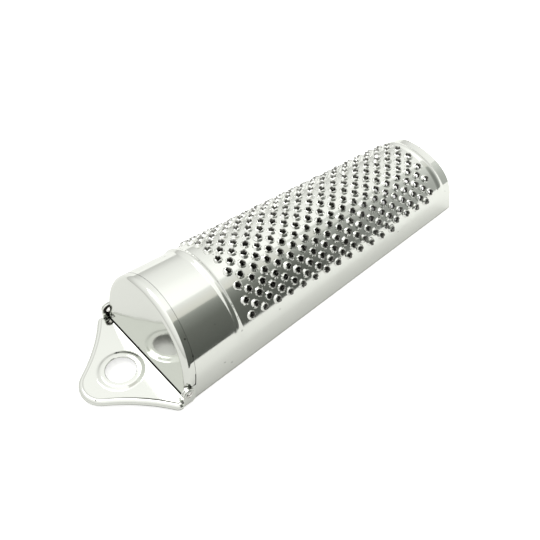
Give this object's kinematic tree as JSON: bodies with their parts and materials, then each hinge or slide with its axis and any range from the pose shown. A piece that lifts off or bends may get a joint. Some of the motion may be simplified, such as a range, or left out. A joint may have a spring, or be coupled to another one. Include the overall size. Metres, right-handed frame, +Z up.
{
  "type": "nutmeg grater",
  "caption": "Half-round tapered hand grater of tinned sheet: pierced rasp, closed nut store at the wide end, and a hinged flap over the store that carries a hanging tab.",
  "frame": {"origin": "middle of the footprint, on the surface that the bottom edges rest on", "axes": "+X along the rasp from the hanging tab to the narrow open end, +Y across, +Z up from the flat back to the crown"},
  "size_m": [0.1378, 0.043, 0.0276],
  "materials": {
    "rolled_tinplate": "bright rolled sheet with faint handling marks",
    "polished_tinplate": "mirror bright pressed sheet",
    "eyelet_steel": "dark bright steel"
  },
  "bodies": {
    "body": {"grater_body": "rolled_tinplate", "end_cap": "polished_tinplate", "store_bulkhead": "rolled_tinplate", "hinge_eyelet_left": "eyelet_steel", "hinge_eyelet_right": "eyelet_steel"},
    "flap": {"store_flap": "polished_tinplate"}
  },
  "joints": [
    {"name": "flap_hinge", "type": "hinge", "parent": "body", "child": "flap", "pos_m": [-0.04705, 0, 0.005], "axis": [0, 1, 0], "range_deg": [0, 98]}
  ]
}
